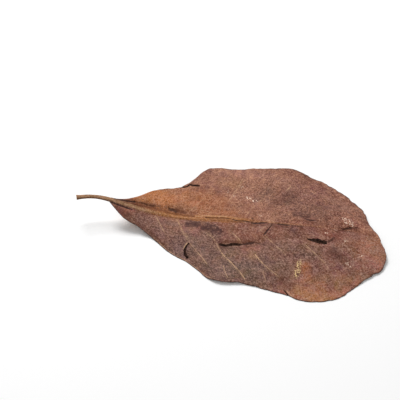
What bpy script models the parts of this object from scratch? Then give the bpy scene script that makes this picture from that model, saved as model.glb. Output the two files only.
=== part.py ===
# Indian almond leaf, one dried leaf lying face up.
# Blade, midrib and leaf stalk grew as one piece and are one solid.
# Millimetres below; X runs from the stalk to the tip, Y to the back, Z up.
import math

import bmesh
import bpy
import numpy as np

MM = 0.001

# Blade
BLADE_LENGTH = 200.0
SHEET = 0.72
FRONT_SPRING = -0.01
BACK_SPRING = 0.05
TIP_SHARE = 0.972
FRONT_FAN = 1.72
BACK_FAN = 1.5

# Stations on the midrib where the side veins start, from the blade's base to its tip
VEIN_STATIONS = (0, 9, 20, 33, 48, 66, 85, 106, 126, 146, 164, 181, 200)

# Midrib line as x, y, z, first the cut end of the stalk
MIDRIB = (
    (-24, -5.2, 20.4), (-15, -1.8, 19.6), (-8, -0.4, 18.7), (0, 0, 17.2), (10, 0.2, 14.6),
    (25, 1.1, 9.5), (38, 2.4, 6.5), (50, 3.2, 4.6), (64, 3.4, 5.1), (85, 2.6, 8.4),
    (110, 1.6, 12.1), (135, 1.5, 14.2), (152, 3.6, 12.9), (170, 7, 9.4), (184, 9.1, 6.5),
    (193, 8.5, 4.5), (200.3, 6, 3.3),
)

# Front margin as x, y, z
FRONT_EDGE = (
    (0, -2.1, 17), (5.5, -5.9, 13.6), (9.7, -8.4, 11), (15.9, -11, 8.2), (22.4, -12.2, 6.2),
    (28.7, -14.8, 3.8), (35, -17.9, 1.4), (42.2, -23.1, 0), (48.1, -27.7, -0.5), (55.7, -32, -0.6),
    (63, -35, -0.6), (69.2, -38.9, -0.5), (74.7, -42.8, -0.2), (80.3, -47.3, 0.7), (85, -49.4, 1.2),
    (90, -50.3, 1.6), (98, -49.6, 1.8), (105, -48.6, 1.8), (113, -49.2, 1.3), (122, -50.6, 0.6),
    (130, -51.9, 0.1), (137.6, -53, -0.4), (144, -55.3, -0.9), (150, -56.1, -1.1), (158.3, -55.1, -1.2),
    (166, -53, -1.2), (171.6, -50.3, -1), (176, -46.8, -0.6), (181.4, -40.6, -0.2), (187, -34.2, 0.3),
    (190.5, -30.1, 0.7), (195, -26.2, 1.2), (199, -22.8, 1.6), (201.9, -19, 2), (203.8, -13, 2.5),
    (204.4, -7, 2.9), (203.2, -1.5, 3.1), (200.3, 6, 3.3),
)

# Back margin as x, y, z
BACK_EDGE = (
    (0, 2.1, 17), (6.4, 4, 14.6), (11.8, 6.6, 13.3), (16.3, 9.6, 12.7), (20.6, 13.1, 12.1),
    (24, 16.6, 11.7), (28, 20.4, 11), (32.3, 23.6, 10.1), (37, 26.2, 9.3), (43, 28.7, 8.5),
    (47.2, 31.3, 8.2), (51, 35.9, 8), (55, 40.3, 8.2), (58.8, 45.2, 8.6), (61.6, 49.9, 9),
    (65, 53.3, 9.4), (70, 55.2, 9.7), (76, 56.5, 10.1), (82, 57, 10.4), (89, 56.7, 10.7),
    (97, 58.3, 11), (105, 60.1, 10.8), (113, 61.4, 10.3), (120, 63.5, 9.6), (126, 65.3, 9.1),
    (133.1, 66.2, 7.6), (141, 65.6, 5.5), (150.5, 63.8, 2.7), (157, 62.9, 0.5), (162.6, 59.4, -1.2),
    (168, 55.5, -2.3), (174, 51.3, -2.3), (179.5, 45.8, -1.2), (184, 41.2, 0.4), (187.2, 37.4, 1.2),
    (189, 31.8, 1.5), (190.8, 25, 1.8), (194.5, 18.2, 2.3), (198, 12.6, 2.8), (200.3, 6, 3.3),
)

# Rise of each half of the blade above a straight line from midrib to margin
FRONT_BELLY = ((0, 0), (24, 0.3), (50, 0.8), (80, 2.0), (120, 2.8), (160, 2.0), (185, 0.8), (200, 0))
BACK_BELLY = ((0, 0.3), (16, 0.9), (40, 0.8), (65, 1.2), (100, 2.4), (140, 3.2), (170, 2.0), (200, 0))

# Half width of the midrib, its height over the blade and its depth under it, by x
RIB_HALF = ((-24, 1.9), (-21, 1.5), (-12, 1.35), (0, 1.7), (10, 1.9), (25, 1.8), (40, 1.4), (60, 1.1),
            (100, 0.9), (150, 0.7), (200, 0.45))
RIB_RISE = ((-24, 1.25), (-21, 1.0), (-12, 0.85), (0, 0.8), (12, 0.8), (28, 0.65), (45, 0.4), (70, 0.2),
            (200, 0.05))
RIB_DEPTH = ((-24, 1.25), (-21, 1.0), (-12, 0.9), (0, 1.2), (10, 1.4), (30, 1.4), (60, 1.2), (100, 0.9),
             (150, 0.6), (200, 0.25))

# Side veins and the cushions of blade between them
VEIN_DEPTH = 0.6
VEIN_RISE = 0.15
QUILT = 0.4
BACK_SHIFT = 0.5

# Slow wave of the margin
WAVE = 0.6
WAVE_REACH = 3

# Long folds in the blade: points, depth, width
FOLDS = (
    (((84, -18.5), (94, -18.3), (102, -18), (111, -16.9), (119, -14), (130, -10.5), (148, -8.8)), 0.9, 3.5),
    (((162, -8.5), (165.3, -3.5), (170, 4.2), (175.2, 10.1), (184, 13.6)), 0.7, 3.0),
    (((14, 3.6), (24, 4.8), (32, 6.4), (42, 8.4), (54, 7.2), (66, 8)), 0.8, 2.6),
)

# Broad bumps and hollows of the dried blade: x, y, height, radius
BUMPS = (
    (70, 38, 0.9, 13),
    (98, 30, -0.8, 12),
    (118, 48, 0.9, 12),
    (140, 34, -0.7, 11),
    (158, 46, 0.8, 9),
    (60, -16, 0.6, 9),
    (92, -36, -0.6, 10),
    (118, -32, 0.9, 11),
    (136, -44, -0.6, 9),
    (162, -32, 0.9, 12),
    (178, -12, -0.7, 10),
    (150, 14, -0.8, 9),
    (30, 14, 0.5, 7),
)

# Tears: points, width at the first point, in the middle and at the last point
TEARS = (
    (((63.1, -21.4), (61.7, -24.6), (61.4, -28), (62.6, -30.6), (64.6, -32.5)), 0.3, 1.4, 0.5),
    (((147.6, -8.5), (151.3, -9), (155.5, -8.8), (158.6, -9.8), (161.8, -9), (163.6, -5.8)), 0.3, 1.9, 0.3),
    (((46.3, 32.2), (49, 31.4), (51.5, 31.9), (53.4, 34.1), (56.3, 33.7), (61.5, 34.2)), 1.4, 1.0, 0.2),
    (((85, -18.4), (88.1, -19.4), (91.8, -19.3), (94, -18.1), (98.1, -17.4), (101.9, -18.5)), 0.3, 0.9, 0.3),
    (((134.6, -48.6), (136.6, -50.6), (139.6, -54)), 0.3, 0.8, 1.4),
)

# Chips out of the margin: position, half length along it, depth
CHIPS = (
    ((86, 57), 4.0, 0.7),
    ((188.5, 33.5), 2.6, 0.7),
    ((175, -47.6), 2.2, 0.7),
    ((194, -27.2), 2.2, 0.7),
)

# Mesh counts and the pressing of low spots onto the table
ROWS_PER_VEIN = 6
STALK_ROWS = 6
RIB_COLUMNS = (-90, -60, -30, 0, 30, 60, 90)
BLADE_COLUMNS = 11
PRESS = 0.3


def table(pairs, x):
    return np.interp(x, [p[0] for p in pairs], [p[1] for p in pairs])


def curve(points, share):
    # Smooth curve through the points, share 0 to 1 of its length
    p = np.array(points, float)
    chord = np.linalg.norm(np.diff(p[:, :2], axis=0), axis=1)
    d = np.concatenate(([0.0], np.cumsum(chord)))
    slope = np.diff(p, axis=0) / chord[:, None]
    mix = (chord[:-1] / (chord[:-1] + chord[1:]))[:, None]
    inner = slope[:-1] * (1 - mix) + slope[1:] * mix
    tangent = np.vstack((slope[:1], inner, slope[-1:]))
    at = np.clip(share, 0, 1) * d[-1]
    k = np.clip(np.searchsorted(d, at, side="right") - 1, 0, len(chord) - 1)
    h = chord[k]
    u = ((at - d[k]) / h)[..., None]
    h = h[..., None]
    a = (1 + 2 * u) * (1 - u) ** 2 * p[k] + u * (1 - u) ** 2 * h * tangent[k]
    b = u * u * (3 - 2 * u) * p[k + 1] + u * u * (u - 1) * h * tangent[k + 1]
    return a + b


def curve_share(points, x):
    # Share of the curve's length at which it reaches x
    p = np.array(points, float)
    chord = np.linalg.norm(np.diff(p[:, :2], axis=0), axis=1)
    d = np.concatenate(([0.0], np.cumsum(chord)))
    share = np.interp(x, p[:, 0], d / d[-1])
    for _ in range(12):
        step = 1e-4
        here = curve(points, share)[..., 0]
        rate = (curve(points, share + step)[..., 0] - here) / step
        share = np.clip(share + (x - here) / np.maximum(rate, 20.0), 0, 1 - step)
    return share


def distance_to(points, x, y):
    best = np.full(np.shape(x), 1e9)
    for (ax, ay), (bx, by) in zip(points[:-1], points[1:]):
        dx = bx - ax
        dy = by - ay
        u = np.clip(((x - ax) * dx + (y - ay) * dy) / (dx * dx + dy * dy), 0, 1)
        best = np.minimum(best, np.hypot(x - ax - u * dx, y - ay - u * dy))
    return best


def half_blade(side, number, u):
    # One half of the blade: side -1 front or 1 back, vein number and u from the midrib to the margin
    x = np.interp(number, range(len(VEIN_STATIONS)), VEIN_STATIONS)
    along = x / BLADE_LENGTH
    share = curve_share(MIDRIB, x)
    rib = curve(MIDRIB, share)
    ahead = curve(MIDRIB, np.minimum(share + 0.01, 1.0)) - curve(MIDRIB, share - 0.01)
    ahead = ahead / np.hypot(ahead[..., 0], ahead[..., 1])[..., None]
    reach = table(RIB_HALF, x)
    sx = rib[..., 0] - side * ahead[..., 1] * reach
    sy = rib[..., 1] + side * ahead[..., 0] * reach
    fan = FRONT_FAN if side < 0 else BACK_FAN
    spring = FRONT_SPRING if side < 0 else BACK_SPRING
    edge = curve(FRONT_EDGE if side < 0 else BACK_EDGE, TIP_SHARE * (1 - (1 - along) ** fan))
    run = np.hypot(edge[..., 0] - sx, edge[..., 1] - sy)
    bow = -spring * run * (1 - 1.5 * along ** 8)
    px = sx + (edge[..., 0] - sx) * u + bow * 4 * u * (1 - u)
    py = sy + (edge[..., 1] - sy) * u
    hump = 4 * u * (1 - u)
    belly = table(FRONT_BELLY if side < 0 else BACK_BELLY, x)
    phase = number if side < 0 else number + BACK_SHIFT
    wide = np.clip(run / 40, 0, 1)
    pz = rib[..., 2] + (edge[..., 2] - rib[..., 2]) * u + belly * hump
    pz = pz + QUILT * wide * np.abs(np.sin(math.pi * phase)) * hump
    pz = pz + WAVE * wide * u ** WAVE_REACH * np.sin(math.pi * phase + 0.9 * np.sin(1.7 * number))
    for points, depth, width in FOLDS:
        pz = pz - depth * np.exp(-(distance_to(points, px, py) / width) ** 2)
    for x0, y0, height, radius in BUMPS:
        pz = pz + height * np.exp(-((px - x0) ** 2 + (py - y0) ** 2) / radius ** 2) * (1 - (1 - u) ** 4)
    return px, py, pz


def leaf_grid():
    # Middle surface of the leaf with its rise and depth, by row and column
    stalk_x = np.array([MIDRIB[0][0], -22.4, -20.0, -15.0, -9.0, -4.0], float)
    numbers = np.arange((len(VEIN_STATIONS) - 1) * ROWS_PER_VEIN + 1) / ROWS_PER_VEIN
    blade_x = np.interp(numbers, range(len(VEIN_STATIONS)), VEIN_STATIONS)
    x = np.concatenate((stalk_x, blade_x))
    number = np.concatenate((np.zeros(STALK_ROWS), numbers))
    share = curve_share(MIDRIB, x)
    share[0] = 0.0
    rib = curve(MIDRIB, share)
    ahead = curve(MIDRIB, share + 0.01) - curve(MIDRIB, np.maximum(share - 0.01, 0))
    ahead = ahead / np.hypot(ahead[:, 0], ahead[:, 1])[:, None]
    turns = np.radians(RIB_COLUMNS)
    columns = 2 * BLADE_COLUMNS + len(turns)
    grid = np.zeros((len(x), columns, 3))
    rise = np.zeros((len(x), columns))
    depth = np.zeros((len(x), columns))
    for k, turn in enumerate(turns):
        j = BLADE_COLUMNS + k
        offset = math.sin(turn) * table(RIB_HALF, x)
        grid[:, j, 0] = rib[:, 0] - ahead[:, 1] * offset
        grid[:, j, 1] = rib[:, 1] + ahead[:, 0] * offset
        grid[:, j, 2] = rib[:, 2]
        rise[:, j] = math.cos(turn) * table(RIB_RISE, x)
        depth[:, j] = math.cos(turn) * table(RIB_DEPTH, x)
    row = np.arange(len(x)) - STALK_ROWS
    for k in range(1, BLADE_COLUMNS + 1):
        u = k / BLADE_COLUMNS
        fade = (1 - u) ** 0.5
        for side in (-1, 1):
            j = BLADE_COLUMNS - k if side < 0 else columns - 1 - BLADE_COLUMNS + k
            grid[:, j] = np.stack(half_blade(side, number, np.full(len(x), u)), axis=-1)
            start = 0 if side < 0 else int(BACK_SHIFT * ROWS_PER_VEIN)
            vein = (row % ROWS_PER_VEIN == start) & (row > 0) & (number < len(VEIN_STATIONS) - 1)
            depth[:, j] = np.where(vein, VEIN_DEPTH * fade, 0)
            rise[:, j] = np.where(vein, VEIN_RISE * fade, 0)
    return grid, rise, depth


def sheet_faces(grid, rise, depth):
    # Heights of the upper and the lower face, the sheet kept full on slopes and pressed flat where it is low
    along = np.gradient(grid, axis=0)
    across = np.gradient(grid, axis=1)
    normal = np.cross(along, across)
    upright = np.abs(normal[..., 2]) / np.maximum(np.linalg.norm(normal, axis=-1), 1e-9)
    half = 0.5 * SHEET / np.clip(upright, 0.6, 1.0)
    half[:STALK_ROWS] = 0.5 * SHEET
    low = grid[..., 2] - half - depth
    high = grid[..., 2] + half + rise
    lowered = np.maximum(low - PRESS, 0)
    return high + (lowered - low), lowered


def build_leaf():
    grid, rise, depth = leaf_grid()
    high, low = sheet_faces(grid, rise, depth)
    rows, columns = high.shape
    body = bmesh.new()
    bmesh.ops.create_grid(body, x_segments=rows - 1, y_segments=columns - 1, size=1.0)
    row_layer = body.verts.layers.int.new("row")
    column_layer = body.verts.layers.int.new("column")
    for vert in body.verts:
        i = round((vert.co.x + 1) / 2 * (rows - 1))
        j = round((vert.co.y + 1) / 2 * (columns - 1))
        vert[row_layer] = i
        vert[column_layer] = j
        vert.co = grid[i, j] * MM
    # The stalk keeps only the columns of the midrib
    spare = []
    for face in body.faces:
        first_row = min(v[row_layer] for v in face.verts)
        low_column = min(v[column_layer] for v in face.verts)
        beside = low_column < BLADE_COLUMNS or low_column >= columns - 1 - BLADE_COLUMNS
        if first_row < STALK_ROWS and beside:
            spare.append(face)
    bmesh.ops.delete(body, geom=spare, context="FACES")
    bmesh.ops.triangulate(body, faces=body.faces[:], quad_method="SHORT_EDGE")
    lifted = bmesh.ops.extrude_face_region(body, geom=body.faces[:])
    upper = {g for g in lifted["geom"] if isinstance(g, bmesh.types.BMVert)}
    for vert in body.verts:
        i = vert[row_layer]
        j = vert[column_layer]
        vert.co.z = (high[i, j] if vert in upper else low[i, j]) * MM
    bmesh.ops.triangulate(body, faces=body.faces[:])
    bmesh.ops.recalc_face_normals(body, faces=body.faces[:])
    mesh = bpy.data.meshes.new("leaf")
    body.to_mesh(mesh)
    body.free()
    return mesh


def build_cutter(name, outline):
    # Upright prism through the sheet on a closed outline
    body = bmesh.new()
    made = bmesh.ops.create_circle(body, cap_ends=True, segments=len(outline), radius=1.0)
    ring = sorted(made["verts"], key=lambda v: math.atan2(v.co.y, v.co.x) % (2 * math.pi))
    for vert, (x, y) in zip(ring, outline):
        vert.co = (x * MM, y * MM, -5 * MM)
    lifted = bmesh.ops.extrude_face_region(body, geom=body.faces[:])
    for g in lifted["geom"]:
        if isinstance(g, bmesh.types.BMVert):
            g.co.z = 30 * MM
    bmesh.ops.recalc_face_normals(body, faces=body.faces[:])
    mesh = bpy.data.meshes.new(name)
    body.to_mesh(mesh)
    body.free()
    return mesh


def tear_outline(points, first, middle, last):
    p = curve(points, np.linspace(0, 1, 7))[:, :2]
    widths = np.interp(np.linspace(0, 1, len(p)), (0, 0.5, 1), (first, middle, last))
    heading = np.gradient(p, axis=0)
    heading = heading / np.linalg.norm(heading, axis=1)[:, None]
    sideways = np.stack((-heading[:, 1], heading[:, 0]), axis=1) * widths[:, None] / 2
    return [tuple(q) for q in (p - sideways)] + [tuple(q) for q in (p + sideways)[::-1]]


def chip_outline(centre, half_length, depth):
    # Lens lying along the margin at the point, from its nearest stretch of margin
    edge = FRONT_EDGE if centre[1] < 0 else BACK_EDGE
    line = curve(edge, np.linspace(0, 1, 600))[:, :2]
    k = int(np.argmin(np.hypot(line[:, 0] - centre[0], line[:, 1] - centre[1])))
    heading = line[min(k + 3, 599)] - line[k - 3]
    heading = heading / np.hypot(*heading)
    outward = np.array((-heading[1], heading[0]))
    if outward[1] * centre[1] < 0:
        outward = -outward
    outline = []
    for turn in (0, 60, 120, 180, 225, 270, 315):
        a = math.radians(turn)
        spot = line[k] + outward * 0.4 * depth
        reach = heading * half_length * math.cos(a) + outward * 1.4 * depth * math.sin(a)
        outline.append(tuple(spot + reach))
    turn = sum(a[0] * b[1] - b[0] * a[1] for a, b in zip(outline, outline[1:] + outline[:1]))
    return outline if turn > 0 else outline[::-1]


def material(name, colour, roughness):
    mat = bpy.data.materials.new(name)
    mat.use_nodes = True
    shader = mat.node_tree.nodes["Principled BSDF"]
    shader.inputs["Base Color"].default_value = colour
    shader.inputs["Roughness"].default_value = roughness
    return mat


def main():
    for old in list(bpy.data.objects):
        bpy.data.objects.remove(old, do_unlink=True)
    parts = bpy.data.collections.new("indian almond leaf")
    cutters = bpy.data.collections.new("cutters")
    bpy.context.scene.collection.children.link(parts)
    bpy.context.scene.collection.children.link(cutters)

    leaf = bpy.data.objects.new("leaf", build_leaf())
    leaf.data.materials.append(material("dried leaf", (0.26, 0.11, 0.08, 1), 0.6))
    parts.objects.link(leaf)

    outlines = [tear_outline(*tear) for tear in TEARS]
    outlines += [chip_outline(*chip) for chip in CHIPS]
    for n, outline in enumerate(outlines):
        cutter = bpy.data.objects.new(f"cut {n + 1}", build_cutter(f"cut {n + 1}", outline))
        cutter.hide_render = True
        cutter.display_type = "WIRE"
        cutters.objects.link(cutter)
        cut = leaf.modifiers.new(f"cut {n + 1}", "BOOLEAN")
        cut.operation = "DIFFERENCE"
        cut.solver = "EXACT"
        cut.object = cutter

    # Centre of the table side of the bounding box at the origin
    spots = np.array([v.co[:] for v in leaf.data.vertices])
    middle = (spots.min(axis=0) + spots.max(axis=0)) / 2
    for item in list(parts.objects) + list(cutters.objects):
        for vert in item.data.vertices:
            vert.co.x -= middle[0]
            vert.co.y -= middle[1]


main()
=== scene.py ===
import math

import bmesh
import bpy
import numpy as np
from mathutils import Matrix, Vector, noise


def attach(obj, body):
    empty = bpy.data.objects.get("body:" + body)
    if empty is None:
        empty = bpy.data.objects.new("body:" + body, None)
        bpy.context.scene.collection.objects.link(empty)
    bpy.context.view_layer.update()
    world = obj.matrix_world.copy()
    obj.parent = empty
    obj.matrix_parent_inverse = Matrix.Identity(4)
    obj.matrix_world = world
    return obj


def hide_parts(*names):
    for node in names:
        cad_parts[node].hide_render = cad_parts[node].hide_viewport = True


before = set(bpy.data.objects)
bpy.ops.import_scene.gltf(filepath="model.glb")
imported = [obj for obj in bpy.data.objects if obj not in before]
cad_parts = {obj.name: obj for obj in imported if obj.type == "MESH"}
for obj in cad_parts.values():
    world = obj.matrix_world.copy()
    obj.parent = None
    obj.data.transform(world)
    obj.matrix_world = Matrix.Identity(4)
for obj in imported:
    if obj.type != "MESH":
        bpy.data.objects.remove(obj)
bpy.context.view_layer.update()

MM = 0.001

# Blade, as in the part's source: its length, its sheet there and here, the bow of the side veins, the
# share of each margin at which they end, how they fan out, where they leave the midrib, the quilting
# and waves between them, how far low spots are pressed flat, and the place of the frame's origin.
# Here and below, a value by side has -1 for the front half and 1 for the back one.
BLADE_LENGTH = 200.0
SOLID_SHEET = 0.72
SHEET = 0.42
SPRING = {-1: -0.01, 1: 0.05}
TIP_SHARE = 0.972
FAN = {-1: 1.72, 1: 1.5}
VEIN_STATIONS = (0, 9, 20, 33, 48, 66, 85, 106, 126, 146, 164, 181, 200)
BACK_SHIFT = 0.5
QUILT = 0.4
WAVE = 0.6
WAVE_REACH = 3
PRESS = 0.3
MIDDLE = (89.857, 5.045)

# Midrib line as x, y, z, first the cut end of the stalk
MIDRIB = (
    (-24, -5.2, 20.4), (-15, -1.8, 19.6), (-8, -0.4, 18.7), (0, 0, 17.2), (10, 0.2, 14.6),
    (25, 1.1, 9.5), (38, 2.4, 6.5), (50, 3.2, 4.6), (64, 3.4, 5.1), (85, 2.6, 8.4),
    (110, 1.6, 12.1), (135, 1.5, 14.2), (152, 3.6, 12.9), (170, 7, 9.4), (184, 9.1, 6.5),
    (193, 8.5, 4.5), (200.3, 6, 3.3),
)

# Front margin as x, y, z
FRONT_EDGE = (
    (0, -2.1, 17), (5.5, -5.9, 13.6), (9.7, -8.4, 11), (15.9, -11, 8.2), (22.4, -12.2, 6.2),
    (28.7, -14.8, 3.8), (35, -17.9, 1.4), (42.2, -23.1, 0), (48.1, -27.7, -0.5), (55.7, -32, -0.6),
    (63, -35, -0.6), (69.2, -38.9, -0.5), (74.7, -42.8, -0.2), (80.3, -47.3, 0.7), (85, -49.4, 1.2),
    (90, -50.3, 1.6), (98, -49.6, 1.8), (105, -48.6, 1.8), (113, -49.2, 1.3), (122, -50.6, 0.6),
    (130, -51.9, 0.1), (137.6, -53, -0.4), (144, -55.3, -0.9), (150, -56.1, -1.1), (158.3, -55.1, -1.2),
    (166, -53, -1.2), (171.6, -50.3, -1), (176, -46.8, -0.6), (181.4, -40.6, -0.2), (187, -34.2, 0.3),
    (190.5, -30.1, 0.7), (195, -26.2, 1.2), (199, -22.8, 1.6), (201.9, -19, 2), (203.8, -13, 2.5),
    (204.4, -7, 2.9), (203.2, -1.5, 3.1), (200.3, 6, 3.3),
)

# Back margin as x, y, z
BACK_EDGE = (
    (0, 2.1, 17), (6.4, 4, 14.6), (11.8, 6.6, 13.3), (16.3, 9.6, 12.7), (20.6, 13.1, 12.1),
    (24, 16.6, 11.7), (28, 20.4, 11), (32.3, 23.6, 10.1), (37, 26.2, 9.3), (43, 28.7, 8.5),
    (47.2, 31.3, 8.2), (51, 35.9, 8), (55, 40.3, 8.2), (58.8, 45.2, 8.6), (61.6, 49.9, 9),
    (65, 53.3, 9.4), (70, 55.2, 9.7), (76, 56.5, 10.1), (82, 57, 10.4), (89, 56.7, 10.7),
    (97, 58.3, 11), (105, 60.1, 10.8), (113, 61.4, 10.3), (120, 63.5, 9.6), (126, 65.3, 9.1),
    (133.1, 66.2, 7.6), (141, 65.6, 5.5), (150.5, 63.8, 2.7), (157, 62.9, 0.5), (162.6, 59.4, -1.2),
    (168, 55.5, -2.3), (174, 51.3, -2.3), (179.5, 45.8, -1.2), (184, 41.2, 0.4), (187.2, 37.4, 1.2),
    (189, 31.8, 1.5), (190.8, 25, 1.8), (194.5, 18.2, 2.3), (198, 12.6, 2.8), (200.3, 6, 3.3),
)

EDGE = {-1: FRONT_EDGE, 1: BACK_EDGE}

# Rise of each half of the blade above a straight line from midrib to margin
BELLY = {
    -1: ((0, 0), (24, 0.3), (50, 0.8), (80, 2.0), (120, 2.8), (160, 2.0), (185, 0.8), (200, 0)),
    1: ((0, 0.3), (16, 0.9), (40, 0.8), (65, 1.2), (100, 2.4), (140, 3.2), (170, 2.0), (200, 0)),
}

# Half width of the midrib, its height over the blade and its depth under it, by x
RIB_HALF = ((-24, 1.9), (-21, 1.5), (-12, 1.35), (0, 1.7), (10, 1.9), (25, 1.8), (40, 1.4), (60, 1.1),
            (100, 0.9), (150, 0.7), (200, 0.45))
RIB_RISE = ((-24, 1.25), (-21, 1.0), (-12, 0.85), (0, 0.8), (12, 0.8), (28, 0.65), (45, 0.4), (70, 0.2),
            (200, 0.05))
RIB_DEPTH = ((-24, 1.25), (-21, 1.0), (-12, 0.9), (0, 1.2), (10, 1.4), (30, 1.4), (60, 1.2), (100, 0.9),
             (150, 0.6), (200, 0.25))

# Long folds in the blade: points, depth, width
FOLDS = (
    (((84, -18.5), (94, -18.3), (102, -18), (111, -16.9), (119, -14), (130, -10.5), (148, -8.8)), 0.9, 3.5),
    (((162, -8.5), (165.3, -3.5), (170, 4.2), (175.2, 10.1), (184, 13.6)), 0.7, 3.0),
    (((14, 3.6), (24, 4.8), (32, 6.4), (42, 8.4), (54, 7.2), (66, 8)), 0.8, 2.6),
)

# Broad bumps and hollows of the dried blade: x, y, height, radius
BUMPS = (
    (70, 38, 0.9, 13), (98, 30, -0.8, 12), (118, 48, 0.9, 12), (140, 34, -0.7, 11), (158, 46, 0.8, 9),
    (60, -16, 0.6, 9), (92, -36, -0.6, 10), (118, -32, 0.9, 11), (136, -44, -0.6, 9), (162, -32, 0.9, 12),
    (178, -12, -0.7, 10), (150, 14, -0.8, 9), (30, 14, 0.5, 7),
)

# Tears: points, widths at the first point, the middle and the last, height between the lips, and the
# share of the width left at the foot
TEARS = (
    (((63.2, -21), (61.7, -24.2), (61.4, -27.4), (62.5, -30.2), (64.6, -32.3)), (1.0, 1.9, 1.5), 0.2, 0.75),
    (((146.8, -8.7), (150.3, -9.3), (154.5, -9.6), (158, -9.8), (161.2, -9.3)), (0.8, 3.6, 2.8), 0.8, 0.75),
    (((46.3, 32.2), (49, 31.4), (51.5, 31.9), (53.4, 34.1), (56.3, 33.7), (61.5, 34.2)),
     (1.2, 1.8, 0.8), 0.25, 0.75),
    (((85, -18.3), (89.8, -18.8), (94.2, -17.8), (98, -17.5), (101.9, -17.5)), (1.4, 1.9, 0.9), 0.5, 0.7),
    (((134.6, -48.6), (136.6, -50.6), (139.6, -54)), (0.3, 0.5, 0.8), 0.4, 0.7),
)

# Fine dark lines that don't go through, drawn along cracks and as painted shade in creases and beside the
# midrib: points, half width, strength
CRACKS_AND_CREASE_SHADE = (
    (((1.5, 2.2), (5.4, 2.3), (10.4, 3.3), (18.5, 5.7)), 0.6, 0.95),
    (((18.5, 5.7), (23.1, 6.4), (28.4, 6.9), (35.7, 8.3)), 0.5, 0.5),
    (((0, -1.9), (7, -2.5), (13, -2.6), (18, -2.4)), 0.7, 0.95),
    (((18, -2.4), (26, -1.6), (36, -0.6), (46, 0.8), (58, 1.6)), 0.4, 0.5),
    (((41.5, 9.3), (44.7, 8.5), (49, 7.6)), 1.3, 0.65),
    (((70, 4.9), (73.6, 4.6), (79.7, 4.4), (86.4, 4.3), (90.2, 3.4)), 0.5, 0.75),
    (((44, 4.6), (54, 5.2), (64, 5.4)), 0.4, 0.35),
    (((90.2, 3.4), (94.8, 2.1), (101.5, 1.5), (105, 0.8)), 0.6, 0.85),
    (((105, 0.4), (108, -0.1), (111.9, 0.3), (117.6, 1.3)), 0.9, 0.85),
    (((105.3, 5.6), (106.6, 3.3)), 0.9, 0.65),
    (((124.2, 0.3), (129.3, 0.1), (133.6, 0.3)), 0.75, 0.8),
    (((133.6, 0.3), (138, 0), (144, 0.4)), 0.5, 0.45),
    (((85, -18.6), (89.8, -19), (94.2, -18), (98, -17.7), (101.5, -17.6)), 1.15, 0.85),
    (((101.5, -17.5), (106, -16.2), (110.4, -15.5)), 1.0, 0.7),
    (((110.4, -15.5), (114.2, -16), (118, -16.8)), 0.7, 0.45),
    (((63.8, -31.6), (64.8, -32.6)), 1.1, 0.9),
    (((47.4, 32.2), (49, 31.4), (51.5, 31.9), (53.4, 34.1)), 1.0, 0.9),
    (((53.4, 34.1), (56.3, 33.7), (61.5, 34.2)), 0.7, 0.9),
    (((134.8, -48.8), (136.6, -50.4), (139, -53.2)), 0.6, 0.8),
    (((115.6, -10), (118.1, -5.6), (121, -0.2)), 0.7, 0.85),
    (((160.8, -8.8), (164.1, -6.3), (166.6, -3.4)), 0.8, 0.6),
    (((143, 10), (145, 9.1), (148.1, 8.5), (151.1, 9.4)), 0.8, 0.75),
    (((158, 11.4), (160.6, 13.9)), 0.8, 0.5),
    (((171, 7.3), (175.2, 10.1), (178.8, 12.2)), 0.9, 0.75),
    (((178.8, 12.2), (184, 13.6)), 0.7, 0.5),
)
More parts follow.
